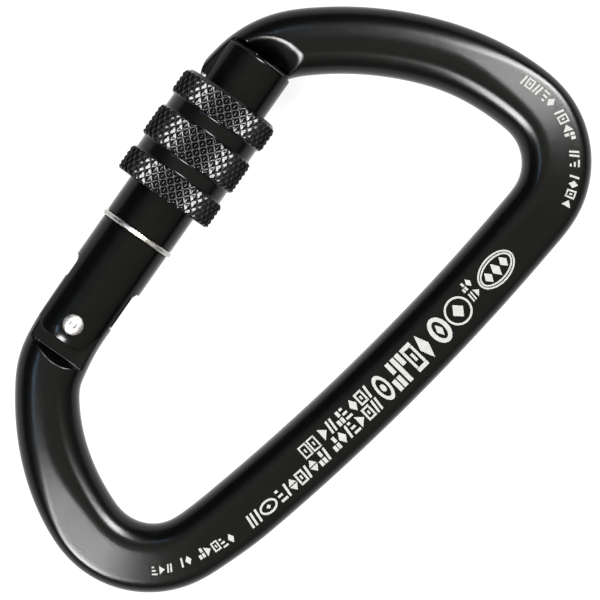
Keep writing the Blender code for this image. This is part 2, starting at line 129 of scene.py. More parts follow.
# sleeve
SLEEVE_START, SLEEVE_END = 25.8, 46.3
BAND_RADIUS, PLAIN_RADIUS, SLEEVE_BORE = 9.2, 8.45, 6.7
BANDS = ((25.8, 30.4), (32.9, 38.8), (41.4, 46.3))
BAND_CHAMFER, RIM_CHAMFER = 0.45, 0.9
COUNTERBORE_RADIUS, COUNTERBORE_DEPTH = 7.95, 6.7
KNURL_COUNT = 34                      # diamonds round the sleeve
KNURL_LENGTH = 1.8                    # of a diamond, along the sleeve
KNURL_DEPTH, KNURL_STEEPNESS, KNURL_ROOT = 0.46, 0.95, 0.05
GROOVE_HIGHLIGHT_HEIGHT = 0.045                # height above the grooves' bottoms over which the painted highlight fades out

# printed marks
INK_PROUD, INK_SUNK = 0.02, 0.03      # how far the ink stands out of the skin and reaches into it
MARK_CELL = (0.8, 0.25)               # longest piece of a mark, along and across the bar
MARK_ACROSS = (-4.0, 2.4)             # where across the bar the marks are divided

# spring
SPRING_START, SPRING_END, SPRING_RADIUS, SPRING_WIRE, SPRING_TURNS = 14.2, 30.1, 1.6, 0.3, 8

# black finish: darker and lighter colour of its dye, and a painted highlight along the bottoms of the
# knurl's grooves
DYE = (0.00012,) * 3, (0.00024, 0.00024, 0.0002)
KNURL_DYE = (0.0003,) * 3, (0.0006,) * 3
# paler colour painted along the knurl's groove bottoms: a painted highlight standing for light caught
# there
KNURL_GROOVE_HIGHLIGHT = (0.012, 0.012, 0.0115)
ANODISED_IOR = 1.2                    # low, so that the black reflects no more than in the photo

# studio and camera, metres
FLOOR_GLOW = 0.9                      # strength of the light that the floor gives off
BOX_DISTANCE = 0.9
COOL = (0.45, 0.68, 1.0)
SENSOR_WIDTH = 36.0                   # the camera's own unit, mm
CAMERA_HEIGHT, VIEW_WIDTH = 0.56, 0.1008
VIEW_CENTRE, VIEW_TURN = (0.00071, -0.00792), math.radians(-44.0)

GATE = Matrix.Translation((PIN[0], PIN[1], 0.0)) @ Matrix.Rotation(GATE_ANGLE, 4, "Z")
# The barrel's frame: +Z runs along the barrel towards the nose
BARREL = GATE @ Matrix.Translation((0.0, BARREL_OFFSET, 0.0)) @ Matrix.Rotation(math.pi / 2, 4, "Y")


# ---------------------------------------------------------------- small tools
def soft_min(a, b, k):
    """The smaller of a and b, with the corner between them rounded over a height k."""
    h = np.clip(k - np.abs(a - b), 0.0, None) / k
    return np.minimum(a, b) - h * h * k / 4


def soft_max(a, b, k):
    return -soft_min(-a, -b, k)


def arc(centre, radius, start, end, steps):
    """Points of an arc, angles in degrees."""
    angles = np.radians(np.linspace(start, end, steps + 1))
    return [(centre[0] + radius * math.cos(a), centre[1] + radius * math.sin(a)) for a in angles]


def spread(points, step):
    """The same open outline with points no further than step apart."""
    out = [points[0]]
    for (a, b), (c, d) in zip(points, points[1:]):
        count = max(1, math.ceil(math.hypot(c - a, d - b) / step))
        for i in range(1, count + 1):
            out.append((a + (c - a) * i / count, b + (d - b) * i / count))
    return out


def new_object(name, vertices, faces, sharp=35.0):
    """A closed smooth mesh object from millimetre points."""
    mesh = bpy.data.meshes.new(name)
    mesh.from_pydata((np.asarray(vertices, float) * MM).tolist(), [], faces)
    bm = bmesh.new()
    bm.from_mesh(mesh)
    bmesh.ops.remove_doubles(bm, verts=bm.verts, dist=1e-8)
    bmesh.ops.recalc_face_normals(bm, faces=bm.faces)
    bm.to_mesh(mesh)
    bm.free()
    obj = bpy.data.objects.new(name, mesh)
    bpy.context.scene.collection.objects.link(obj)
    mesh.shade_smooth()
    mesh.set_sharp_from_angle(angle=math.radians(sharp))
    return obj


def placed(points, matrix):
    """Points carried by a matrix whose lengths are in millimetres."""
    points = np.asarray(points, float)
    turn = np.array(matrix.to_3x3())
    return points @ turn.T + np.array(matrix.translation)


def grid_faces(rows, columns, wrap_rows=False):
    """Quads of a grid whose columns close on themselves."""
    faces = []
    last = rows if wrap_rows else rows - 1
    for i in range(last):
        a, b = i * columns, ((i + 1) % rows) * columns
        for j in range(columns):
            k = (j + 1) % columns
            faces.append((a + j, a + k, b + k, b + j))
    return faces


def turned(name, profile, columns=144, closed=False, matrix=BARREL, sharp=35.0):
    """A solid of revolution about its own Z; profile is (radius, height)."""
    profile = np.array(profile, float)
    angles = np.linspace(0.0, 2 * math.pi, columns, endpoint=False)
    ring = np.stack([np.cos(angles), np.sin(angles)], -1)
    points = np.zeros((len(profile), columns, 3))
    points[:, :, :2] = profile[:, None, :1] * ring[None]
    points[:, :, 2] = profile[:, 1:]
    faces = grid_faces(len(profile), columns, closed)
    return new_object(name, placed(points.reshape(-1, 3), matrix), faces, sharp)


def prism(name, outline, low, high, matrix=GATE):
    """A cutter: an outline in a plane's own X-Y, solid from low to high along its Z."""
    count = len(outline)
    points = [(x, y, low) for x, y in outline] + [(x, y, high) for x, y in outline]
    faces = [tuple(range(count)), tuple(range(count, 2 * count))]
    faces += [(i, (i + 1) % count, count + (i + 1) % count, count + i) for i in range(count)]
    return new_object(name, placed(points, matrix), faces)


def upright(outline, low, high, name):
    """A cutter with an X-Z outline in the gate frame, solid from low to high along Y."""
    return prism(name, outline, -high, -low, GATE @ Matrix.Rotation(math.pi / 2, 4, "X"))


def carve(obj, cutters, sharp=35.0):
    """Cut the cutters out of obj, and keep the result as plain mesh."""
    for cutter in cutters:
        modifier = obj.modifiers.new(cutter.name, "BOOLEAN")
        modifier.operation = "DIFFERENCE"
        modifier.solver = "EXACT"
        modifier.object = cutter
    bpy.context.view_layer.update()
    evaluated = obj.evaluated_get(bpy.context.evaluated_depsgraph_get())
    mesh = bpy.data.meshes.new_from_object(evaluated)
    obj.modifiers.clear()
    obj.data = mesh
    for cutter in cutters:
        bpy.data.objects.remove(cutter, do_unlink=True)
    mesh.shade_smooth()
    mesh.set_sharp_from_angle(angle=math.radians(sharp))


def dress(obj, material, body, nodes):
    """Give a piece its material, and let it stand for its CAD nodes."""
    obj.data.materials.clear()
    obj.data.materials.append(material)
    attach(obj, body)
    if nodes:
        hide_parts(*nodes)
    return obj


# ---------------------------------------------------------------- the bar
def smooth_line(values, sigma):
    """Gaussian smoothing that keeps bends in place, for evenly spaced points."""
    reach = int(3 * sigma)
    weights = np.exp(-0.5 * (np.arange(-reach, reach + 1) / sigma) ** 2)
    weights /= weights.sum()

    def blur(v):
        before = v[0] + np.arange(-reach, 0)[:, None] * (v[1] - v[0])
        after = v[-1] + np.arange(1, reach + 1)[:, None] * (v[-1] - v[-2])
        padded = np.vstack([before, v, after])
        return np.stack([np.convolve(padded[:, k], weights, "valid") for k in range(v.shape[1])], -1)

    once = blur(values)
    return 2 * once - blur(once)


def smooth_step(value, low, high):
    share = np.clip((value - low) / (high - low), 0.0, 1.0)
    return share * share * (3 - 2 * share)


def centreline():
    """Evenly spaced stations, hinge to nose: lengths, (x, y), unit inward normals and widths."""
    cos, sin = math.cos(GATE_ANGLE), math.sin(GATE_ANGLE)
    x = PIN[0] + TONGUE_REACH * cos - BARREL_OFFSET * sin
    y = PIN[1] + TONGUE_REACH * sin + BARREL_OFFSET * cos
    heading = GATE_ANGLE + math.pi
    widths = [row[2] for row in CENTRELINE] + [END_WIDTH]
    rows = [(x, y, widths[0])]
    for index, (length, turn, _) in enumerate(CENTRELINE):
        count = round(length / STATION_STEP)
        piece, bend = length / count, math.radians(turn) / count
        for i in range(1, count + 1):
            heading += bend / 2
            x += piece * math.cos(heading)
            y += piece * math.sin(heading)
            heading += bend / 2
            ease = smooth_step(i / count, 0.0, 1.0)
            rows.append((x, y, widths[index] + (widths[index + 1] - widths[index]) * ease))
    rows = smooth_line(np.array(rows), BEND_BLUR / STATION_STEP)
    along = np.gradient(rows[:, :2], axis=0)
    along /= np.linalg.norm(along, axis=1)[:, None]
    inward = np.stack([-along[:, 1], along[:, 0]], -1)
    return np.arange(len(rows)) * STATION_STEP, rows[:, :2], inward, rows[:, 2]


def section(width, length, corner=18, face=9, blend=5, land=3, roll=24):
    """(across, height) of the upper half of the section, outer wall to inner wall.

    length is the place along the bar. The rest are numbers of points along each part of it.
    """
    faced = smooth_step(length, *FACE_OPENS) * (1.0 - smooth_step(length, *FACE_CLOSES))

    def size(pair):
        return pair[0] + (pair[1] - pair[0]) * faced

    across, high = size(CORNER_ACROSS), size(CORNER_HEIGHT)
    inner_roll = size(INNER_ROLL)
    slope = math.tan(FACE_SLOPE)
    steepest = math.atan2(high, across * slope)
    corner_x = across - width / 2
    face_end = corner_x - across * math.cos(steepest)
    land_inner = width / 2 - inner_roll
    land_outer = land_inner - size(CREST_LAND)
    blend_end = max(land_outer - size(FACE_BLEND), face_end + 0.05)
    blend_run = land_outer - blend_end
    drop = blend_run * slope / 2
    face_height = HALF - drop - (blend_end - face_end) * slope
    corner_z = face_height - high * math.sin(steepest)
    points = []
    for i in range(corner):
        angle = steepest * i / corner
        points.append((corner_x - across * math.cos(angle), corner_z + high * math.sin(angle)))
    for i in range(face):
        run = (blend_end - face_end) * i / face
        points.append((face_end + run, face_height + run * slope))
    for i in range(blend):
        share = i / blend
        points.append((blend_end + blend_run * share, HALF - drop * (1 - share) ** 2))
    for i in range(land):
        points.append((land_outer + (land_inner - land_outer) * i / land, HALF))
    for i in range(roll + 1):
        angle = math.pi / 2 * i / roll
        points.append((land_inner + inner_roll * math.sin(angle), HALF * math.cos(angle)))
    return np.array(points)


def to_gate(x, y):
    """Millimetre points of the row frame in the gate frame."""
    cos, sin = math.cos(GATE_ANGLE), math.sin(GATE_ANGLE)
    dx, dy = x - PIN[0], y - PIN[1]
    return dx * cos + dy * sin, dy * cos - dx * sin


def milled(z, s, t):
    """Half thickness z of the bar at gate point (s, t), after the steps at hinge and nose."""
    centre = HINGE_RIM + HINGE_RIM_RADIUS
    rim = centre - np.sqrt(np.clip(HINGE_RIM_RADIUS ** 2 - (t - HINGE_RIM_Y) ** 2, 0.0, None))
    run = np.clip(HINGE_FLOOR_END - rim, HINGE_SHORTEST_RAMP, None)
    ramp = BLADE_HALF + (HALF - BLADE_HALF) * (HINGE_FLOOR_END - s) / run
    foot_round, rim_round = 0.12, 0.45
    hinge = soft_max(np.full_like(ramp, BLADE_HALF), ramp, foot_round)
    hinge_z = soft_min(z, hinge, rim_round)

    q = np.hypot((s - SCOOP_CENTRE[0]) / SCOOP_AXES[0], (t - SCOOP_CENTRE[1]) / SCOOP_AXES[1])
    bowl = HALF + SCOOP_SLOPE * (q - 1.0) * SCOOP_AXES[0]
    foot = BARREL_TOP + 0.5
    bowl = np.maximum(bowl, np.where(s < foot, BLADE_HALF, SCOOP_FLOOR))
    bowl_round, wall_round = 0.55, 0.25
    nose_z = soft_min(z, bowl, bowl_round)
    wall = BLADE_HALF + (s - foot) * SCOOP_WALL_SLOPE
    under_wall = soft_min(nose_z, np.maximum(wall, BLADE_HALF), wall_round)
    nose_z = np.where(wall < HALF + 1.0, under_wall, nose_z)
    out = np.where(s < HINGE_CUT_END, hinge_z, z)
    return np.where(s > NOSE_CUT_START, nose_z, out)


def bar_mesh(coarse=4, fine_ends=26.0):
    """The whole bar as one swept skin, milled at both ends, with finer stations near them."""
    lengths, places, normals, widths = centreline()
    rows = []
    for index, length in enumerate(lengths):
        near_end = length < fine_ends or length > lengths[-1] - fine_ends
        if index % coarse and not near_end:
            continue
        place, normal = places[index], normals[index]
        half = section(widths[index], length)
        x = place[0] + normal[0] * half[:, 0]
        y = place[1] + normal[1] * half[:, 0]
        s, t = to_gate(x, y)
        z = np.where(t > MILLED_INNER, milled(half[:, 1], s, t), half[:, 1])
        top = np.stack([x, y, z], -1)
        bottom = np.stack([x, y, -z], -1)[-2::-1]
        rows.append(np.vstack([top, bottom]))
    points = np.array(rows)
    count, columns = points.shape[:2]
    faces = grid_faces(count, columns)
    faces += [tuple(range(columns)), tuple((count - 1) * columns + i for i in range(columns))]
    return new_object("body_fine", points.reshape(-1, 3), faces)


def hinge_cutters():
    """The tongue's end, with the cam that works the pusher, and the pin's hole."""
    reach = CUTTER_REACH
    cam = []
    for degrees in range(40, -23, -3):
        angle = math.radians(degrees)
        radius = CAM_RADIUS + CAM_RISE * angle
        cam.append((radius * math.cos(angle), -radius * math.sin(angle)))
    ear = arc((0.0, 0.0), EAR_RADIUS, 24.0, 46.0, 16)
    inner_edge = [(2.4, -reach), (2.6, -5.2)]
    edge = inner_edge + cam + ear
    edge += [(ear[-1][0], reach), (reach, reach), (reach, -reach)]
    hole = arc((0.0, 0.0), PIN_HOLE, 0.0, 352.5, 47)
    return [prism("edge_cut", edge, -reach, reach), prism("hole_cut", hole, -reach, reach)]


def nose_cutters():
    """The hooked blade's outline, and room for the barrel's end."""
    side, deep = CUTTER_REACH + 2.0, CUTTER_REACH
    tip = arc((0.0, 0.0), BLADE_TIP_RADIUS, -8.0, 8.1, 20)
    tip += arc(BLADE_BACK_CENTRE, BLADE_BACK_RADIUS, 114.5, 85.6, 12)
    tip += [(BLADE_BACK_END, side), (NOSE_CUT_START, side), (NOSE_CUT_START, -side)]
    trunk = math.degrees(TRUNK_INNER / SHOULDER_RADIUS)
    room = arc((0.0, 0.0), SHOULDER_RADIUS, -13.0, trunk, 20)
    room += [(TOE_TOP, TRUNK_INNER), (TOE_TOP, TOE_INNER), (TOE_START, TOE_INNER), (TOE_START, -deep)]
    return [prism("tip_cut", tip, -deep, deep), prism("room_cut", room, -deep, deep)]


def make_body(material):
    """The forged bar, with the outlines of both ends cut."""
    body = bar_mesh()
    carve(body, hinge_cutters() + nose_cutters(), 40.0)
    return dress(body, material, "frame", ["body"])


# ---------------------------------------------------------------- printed marks
# Each sign is a list of outlines in a box one unit high, x along the bar and y inwards.
def block(x, y, width, height):
    return [[(x, y), (x + width, y), (x + width, y + height), (x, y + height)]]


def slash(x, width, lean):
    return [[(x, 0.0), (x + width, 0.0), (x + width + lean, 1.0), (x + lean, 1.0)]]


def disc(x, y, radius, count=28):
    angles = np.linspace(0.0, 2 * math.pi, count, endpoint=False)
    return [[(x + radius * math.cos(a), y + radius * math.sin(a)) for a in angles]]


def loop(x, y, radius, line, squash=1.0, count=36):
    """A ring, or an oval when squash is not 1, drawn as short blocks."""
    angles = np.linspace(0.0, 2 * math.pi, count + 1)
    wide = radius * squash
    outlines = []
    for a, b in zip(angles, angles[1:]):
        outlines.append([
            (x + wide * math.cos(a), y + radius * math.sin(a)),
            (x + wide * math.cos(b), y + radius * math.sin(b)),
            (x + (wide - line) * math.cos(b), y + (radius - line) * math.sin(b)),
            (x + (wide - line) * math.cos(a), y + (radius - line) * math.sin(a)),
        ])
    return outlines


def kite(x, width, low=0.0, high=1.0):
    middle = (low + high) / 2
    return [[(x, middle), (x + width / 2, low), (x + width, middle), (x + width / 2, high)]]


def wedge(width):
    return [[(0.0, 0.0), (width, 0.5), (0.0, 1.0)]]


def boxed_block(x, width, line):
    """An open box with a smaller block in it."""
    inner = 1.0 - 2 * line
    sides = block(x, 0.0, width, line) + block(x, 1.0 - line, width, line)
    sides += block(x, line, line, inner) + block(x + width - line, line, line, inner)
    return sides + block(x + width / 2 - line / 2, 0.35, line, 0.3)


def ladder(width, line):
    """Three bars of falling length."""
    rungs = block(0.0, 0.0, width, line)
    rungs += block(0.0, 0.5 - line / 2, width * 0.72, line)
    return rungs + block(0.0, 1.0 - line, width * 0.45, line)


def signs():
    """Width and outlines of every sign, by name. They are made up, and stand for no letters."""
    outer_half = [(0.0, 0.46), (0.33, 0.0), (0.66, 0.46)]
    inner_half = [(0.0, 0.54), (0.66, 0.54), (0.33, 1.0)]
    badge = loop(0.775, 0.5, 0.5, 0.06, 1.55) + loop(0.775, 0.5, 0.40, 0.06, 1.72)
    badge += kite(0.26, 0.30, 0.28, 0.72) + kite(0.62, 0.31, 0.22, 0.78) + kite(0.99, 0.30, 0.28, 0.72)
    return {
        "bars": (0.62, slash(0.0, 0.17, 0.12) + slash(0.32, 0.17, 0.12)),
        "bar": (0.30, slash(0.0, 0.18, 0.12)),
        "ladder": (0.58, ladder(0.56, 0.19)),
        "kite": (0.62, kite(0.0, 0.62)),
        "split_kite": (0.66, [outer_half, inner_half]),
        "wedge": (0.55, wedge(0.55)),
        "box": (0.70, boxed_block(0.0, 0.70, 0.15)),
        "dot_ring": (0.80, loop(0.4, 0.5, 0.5, 0.15, 0.8) + disc(0.4, 0.5, 0.14)),
        "step": (0.60, block(0.0, 0.0, 0.25, 1.0) + block(0.33, 0.55, 0.27, 0.45)),
        "blocks": (0.58, block(0.0, 0.0, 0.25, 0.44) + block(0.33, 0.56, 0.25, 0.44)
                   + block(0.33, 0.0, 0.25, 0.44)),
        "loop": (1.45, loop(0.72, 0.5, 0.5, 0.16, 1.45) + kite(0.52, 0.40, 0.34, 0.66)),
        "pages": (1.45, boxed_block(0.0, 0.68, 0.12) + boxed_block(0.77, 0.68, 0.12)),
        "kite_ring": (0.68, loop(0.34, 0.5, 0.5, 0.15, 0.68) + kite(0.22, 0.24, 0.26, 0.74)),
        "target": (1.0, loop(0.5, 0.5, 0.5, 0.075) + kite(0.26, 0.48, 0.22, 0.78)),
        "badge": (1.55, badge),
    }


# Rows of signs: first length along the bar, across at its start and end, height, width factor,
# gap between signs, and their names
MARK_ROWS = (
    (57.5, (-2.6, -2.4), 1.45, 1.0, 0.28, "ladder wedge bars"),
    (61.9, (-2.3, -2.4), 1.60, 1.0, 0.30, "bar kite"),
    (64.8, (-2.5, -3.5), 1.75, 1.0, 0.30, "blocks wedge box ladder kite"),
    (74.5, (-3.5, -3.5), 2.35, 1.0, 0.22, "bars bar"),
    (77.1, (-3.5, -3.5), 2.35, 1.0, 0.30, "loop"),
    (81.0, (-3.4, -3.4), 2.35, 1.0, 0.22, "ladder bar split_kite box bar"),
    (88.1, (-3.3, -3.3), 2.35, 1.0, 0.22, "split_kite blocks bar"),
    (88.7, (-0.6, -0.6), 2.40, 1.0, 0.30, "pages"),
    (93.2, (-3.1, -3.1), 2.35, 1.0, 0.28, "blocks kite bar ladder wedge box bars"),
    (93.2, (-0.4, -0.4), 2.35, 1.0, 0.28, "wedge bars blocks ladder kite box bar"),
    (104.9, (-3.2, -3.2), 5.05, 0.62, 0.40, "dot_ring blocks step box kite"),
    (117.9, (-3.1, -3.1), 4.95, 1.0, 0.40, "kite_ring"),
    (121.6, (-3.1, -3.1), 4.85, 1.0, 0.30, "target"),
    (126.9, (-1.6, -1.6), 1.60, 1.0, 0.25, "bars wedge"),
    (126.9, (0.5, 0.5), 1.60, 1.0, 0.25, "blocks kite"),
    (129.5, (-3.2, -3.2), 4.95, 1.0, 0.30, "badge"),
    (148.3, (-3.9, -3.7), 1.65, 1.0, 0.26, "wedge box kite bar"),
    (153.8, (-3.6, -3.5), 1.70, 1.0, 0.30, "ladder bars"),
    (157.6, (-3.4, -3.3), 1.75, 1.0, 0.26, "blocks wedge box bar"),
    (163.1, (-3.2, -3.0), 1.80, 1.0, 0.26, "kite ladder bars box bar"),
)


def mark_outlines():
    """All the marks as outlines of (length along the bar, across)."""
    table = signs()
    outlines = []
    for start, across, height, stretch, gap, names in MARK_ROWS:
        names = names.split()
        wide = height * stretch
        total = sum(table[name][0] * wide + gap for name in names)
        cursor = 0.0
        for name in names:
            width, shapes = table[name]
            lift = across[0] + (across[1] - across[0]) * cursor / total
            for shape in shapes:
                outlines.append([(start + cursor + x * wide, lift + y * height) for x, y in shape])
            cursor += width * wide + gap
    return outlines


def divide(bm, at, normal):
    """Divide the flat marks along a plane, so that they can bend there."""
    geometry = bm.verts[:] + bm.edges[:] + bm.faces[:]
    bmesh.ops.bisect_plane(bm, geom=geometry, plane_co=at, plane_no=normal)


def flat_marks():
    """The marks before they follow the bar: points (length, across), faces and outer edges."""
    bm = bmesh.new()
    for outline in mark_outlines():
        bm.faces.new([bm.verts.new((x, y, 0.0)) for x, y in outline])
    bmesh.ops.remove_doubles(bm, verts=bm.verts, dist=0.001)
    low = min(v.co.x for v in bm.verts)
    high = max(v.co.x for v in bm.verts)
    for x in np.arange(low, high, MARK_CELL[0]):
        divide(bm, (x, 0.0, 0.0), (1.0, 0.0, 0.0))
    for y in np.arange(*MARK_ACROSS, MARK_CELL[1]):
        divide(bm, (0.0, y, 0.0), (0.0, 1.0, 0.0))
    bm.verts.index_update()
    points = np.array([v.co[:2] for v in bm.verts])
    loops = [tuple(v.index for v in face.verts) for face in bm.faces]
    rim = [tuple(v.index for v in edge.verts) for edge in bm.edges if edge.is_boundary]
    bm.free()
    return points, loops, rim


def on_skin(flat):
    """Points (length, across) carried to the front face of the bar."""
    lengths, places, normals, widths = centreline()
    step = lengths[1] - lengths[0]
    points = []
    for length, across in flat:
        at = min(int(round(length / step)), len(lengths) - 1)
        half = section(widths[at], length)
        place = [np.interp(length, lengths, places[:, k]) for k in (0, 1)]
        normal = [np.interp(length, lengths, normals[:, k]) for k in (0, 1)]
        height = np.interp(across, half[:, 0], half[:, 1])
        points.append((place[0] + normal[0] * across, place[1] + normal[1] * across, height))
    return np.array(points)


def make_marks(material):
    """Printed signs on the front face: thin plates that follow the skin of the bar."""
    flat, loops, rim = flat_marks()
    points = on_skin(flat)
    count = len(points)
    over, under = points + (0.0, 0.0, INK_PROUD), points - (0.0, 0.0, INK_SUNK)
    faces = loops + [tuple(i + count for i in reversed(face)) for face in loops]
    faces += [(a, b, b + count, a + count) for a, b in rim]
    marks = new_object("printed_marks", np.vstack([over, under]), faces)
    return dress(marks, material, "frame", [])


# ---------------------------------------------------------------- the gate
def barrel_profile():
    """(radius, distance from the pin), nose end to fork end."""
    groove = 0.55                     # radius of the wire ring's groove
    lip = 0.1                         # chamfer at the groove's edges
    top_round = 0.4
    taper_along, taper_across = FORK_TAPER
    profile = [(0.0, BARREL_TOP)]
    profile += arc((UPPER_RADIUS - top_round, BARREL_TOP - top_round), top_round, 90.0, 0.0, 8)
    above, below = RING_POSITION + groove, RING_POSITION - groove
    profile += [(UPPER_RADIUS, above + lip), (UPPER_RADIUS - lip, above)]
    profile += arc((RING_RADIUS, RING_POSITION), groove, 90.0, 270.0, 12)
    profile += [(LOWER_RADIUS - lip, below), (LOWER_RADIUS, below - lip)]
    for angle in np.radians(np.linspace(0.0, 84.0, 13)):
        fall, reach = taper_across * (1 - math.cos(angle)), taper_along * (1 - math.sin(angle))
        profile.append((LOWER_RADIUS - fall, BARREL_END + reach))
    profile += [(LOWER_RADIUS - taper_across - 0.12, BARREL_END), (0.0, BARREL_END)]
    return spread(profile, 1.2)


def fork_cutters():
    """The slot for the tongue, the rounded cheek ends, the pin's hole and its heads' seats."""
    wide = high = CUTTER_REACH
    below = BARREL_END - 3.0
    start = FORK_ROOT - FORK_FILLET
    slot = [(below, SLOT_HALF)]
    slot += arc((start, SLOT_HALF - FORK_FILLET), FORK_FILLET, 90.0, 0.0, 10)
    slot += arc((start, FORK_FILLET - SLOT_HALF), FORK_FILLET, 0.0, -90.0, 10)
    slot += [(below, -SLOT_HALF)]

    centre = (BARREL_END + CHEEK_OUTER_ROUND, CHEEK_OUTER - CHEEK_OUTER_ROUND)
    outer = arc(centre, CHEEK_OUTER_ROUND, 180.0, 90.0, 14)
    relief = 0.6
    outer += [(centre[0] + relief, CHEEK_OUTER + relief), (centre[0], wide)]
    outer += [(below, wide), (below, centre[1])]

    centre = (BARREL_END + CHEEK_INNER_ROUND, CHEEK_INNER + CHEEK_INNER_ROUND)
    inner = arc(centre, CHEEK_INNER_ROUND, 180.0, 258.0, 12)
    notch, notch_inner = 3.6, -5.3
    inner += [(notch, notch_inner), (notch, -wide), (below, -wide), (below, centre[1])]
    hole = arc((0.0, 0.0), PIN_HOLE, 0.0, 352.5, 47)
    seat = arc((0.0, 0.0), SEAT_RADIUS, 0.0, 354.0, 59)
    return [
        upright(slot, -wide, wide, "slot_cut"),
        prism("outer_cut", outer, -high, high),
        prism("inner_cut", inner, -high, high),
        prism("gate_hole_cut", hole, -high, high),
        prism("seat_front_cut", seat, SEAT_FLOOR, high),
        prism("seat_back_cut", seat, -high, -SEAT_FLOOR),
    ]


def pocket_cutter():
    """The pocket for the nose, open towards the outside and the barrel's end."""
    outside, above = CUTTER_REACH, 60.0
    outline = [(POCKET_BOTTOM, outside), (POCKET_BOTTOM, POCKET_TOE_WALL), (POCKET_LIP, POCKET_TOE_WALL)]
    outline += [(POCKET_LIP, POCKET_TRUNK_WALL), (above, POCKET_TRUNK_WALL), (above, outside)]
    return prism("pocket_cut", outline, -SLOT_HALF, SLOT_HALF)


def make_gate(material):
    """The turned barrel with its fork, nose pocket and spring bore."""
    gate = turned("gate_fine", barrel_profile(), 180)
    start, drill_point = FORK_ROOT - 2.0, 1.3
    bore_profile = [(0.0, BORE_END + drill_point), (BORE_RADIUS, BORE_END)]
    bore_profile += [(BORE_RADIUS, start), (0.0, start)]
    bore = turned("bore_cut", bore_profile, 48)
    carve(gate, fork_cutters() + [pocket_cutter(), bore], 30.0)
    return dress(gate, material, "gate", ["gate"])


def make_rivet(material):
    """Pin with a peened, dimpled dome at each end."""
    pin_radius = 1.3
    seat, edge, top = 5.62, 5.95, 6.55                  # heights of the head
    dimple, dimple_depth, fullness = 0.62, 0.2, 2.6
    dome = [(0.0, top - dimple_depth), (dimple - 0.22, top - dimple_depth)]
    dome += [(dimple - 0.08, top - 0.12), (dimple, top - 0.01)]
    for share in np.linspace(0.0, 1.0, 14):
        radius = dimple + 0.05 + (HEAD_RADIUS - dimple - 0.05) * share
        dome.append((radius, top - (top - edge) * share ** fullness))
    dome += [(HEAD_RADIUS, edge - 0.12), (HEAD_RADIUS - 0.05, seat), (pin_radius, seat)]
    profile = dome + [(r, -z) for r, z in reversed(dome)]
    rivet = turned("rivet_fine", profile, 72, matrix=GATE, sharp=50.0)
    return dress(rivet, material, "gate", ["hinge_rivet"])


def tube(name, path, radius, sides=16, matrix=BARREL):
    """A round wire along an open path, with domed ends."""
    path = np.asarray(path, float)
    along = np.gradient(path, axis=0)
    along /= np.linalg.norm(along, axis=1)[:, None]
    side = np.cross(along, (0.0, 0.0, 1.0))
    side /= np.linalg.norm(side, axis=1)[:, None]
    up = np.cross(side, along)
    angles = np.linspace(0.0, 2 * math.pi, sides, endpoint=False)
    rings = []
    caps = [(1.0, 0.15), (0.85, 0.55), (0.5, 0.85)]     # how far out, and how wide
    for reach, size in caps:
        rings.append((path[0] - along[0] * radius * reach * 0.6, side[0], up[0], radius * size))
    for p, a, b in zip(path, side, up):
        rings.append((p, a, b, radius))
    for reach, size in reversed(caps):
        rings.append((path[-1] + along[-1] * radius * reach * 0.6, side[-1], up[-1], radius * size))
    points = []
    for centre, a, b, size in rings:
        for angle in angles:
            points.append(centre + size * (math.cos(angle) * a + math.sin(angle) * b))
    faces = grid_faces(len(rings), sides)
    faces += [tuple(range(sides)), tuple(range((len(rings) - 1) * sides, len(rings) * sides))]
    return new_object(name, placed(points, matrix), faces)


def make_ring(material):
    """Wire snap ring in the barrel's groove, split underneath."""
    angles = np.linspace(math.radians(5.0), math.radians(355.0), 220)
    path = [(RING_RADIUS * math.cos(a), RING_RADIUS * math.sin(a), RING_POSITION) for a in angles]
    return dress(tube("ring_fine", path, WIRE_RADIUS), material, "gate", ["stop_ring"])


def make_spring(material):
    """The compression spring, a coil of round wire in the gate's bore."""
    steps = 20
    count = SPRING_TURNS * steps
    path = []
    for i in range(count + 1):
        angle = 2 * math.pi * i / steps
        height = SPRING_START + (SPRING_END - SPRING_START) * i / count
        path.append((SPRING_RADIUS * math.cos(angle), SPRING_RADIUS * math.sin(angle), height))
    spring = tube("spring_fine", path, SPRING_WIRE, 8)
    dress(spring, material, "gate", ["gate_spring"])
    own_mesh(spring)
    return spring


# ---------------------------------------------------------------- the sleeve
def knurl(s, angle):
    """Height of the diamond knurl above its groove bottoms, mm."""
    pitch = 2 * math.pi * BAND_RADIUS / KNURL_COUNT
    spacing = KNURL_LENGTH * pitch / math.hypot(KNURL_LENGTH, pitch)
    turn = angle * KNURL_COUNT / (2 * math.pi)
    along = s / KNURL_LENGTH
    first = np.abs((along + turn) % 1.0 - 0.5) * spacing
    second = np.abs((along - turn) % 1.0 - 0.5) * spacing
    heights = [np.hypot(d * KNURL_STEEPNESS, KNURL_ROOT) - KNURL_ROOT for d in (first, second)]
    height = soft_min(heights[0], heights[1], 0.04)
    return soft_min(height, np.full_like(height, KNURL_DEPTH), 0.12)


def band_envelope(s, low, high, top_chamfer):
    """Largest radius of a band at s, with its two chamfers."""
    bottom = BAND_RADIUS - BAND_CHAMFER + (s - low)
    top = BAND_RADIUS - top_chamfer + (high - s)
    return np.minimum(np.minimum(bottom, top), BAND_RADIUS)


def mark_grooves(sleeve):
    """Store on the mesh how near each point is to the bottom of a knurl groove, 0 to 1."""
    mesh = sleeve.data
    points = np.empty(len(mesh.vertices) * 3)
    mesh.vertices.foreach_get("co", points)
    local = placed(points.reshape(-1, 3) / MM, BARREL.inverted())
    radius = np.hypot(local[:, 0], local[:, 1])
    height = knurl(local[:, 2], np.arctan2(local[:, 1], local[:, 0]))
    inside = np.zeros(len(local), bool)
    for low, high in BANDS:
        inside |= (local[:, 2] > low + 0.3) & (local[:, 2] < high - 0.3)
    # this nearness masks the painted highlight along the knurl's groove bottoms
    near = np.clip(1.0 - height / GROOVE_HIGHLIGHT_HEIGHT, 0.0, 1.0)
    near[~inside | (radius < BAND_RADIUS - KNURL_DEPTH - 0.05)] = 0.0
    mesh.attributes.new("groove", "FLOAT", "POINT").data.foreach_set("value", near)


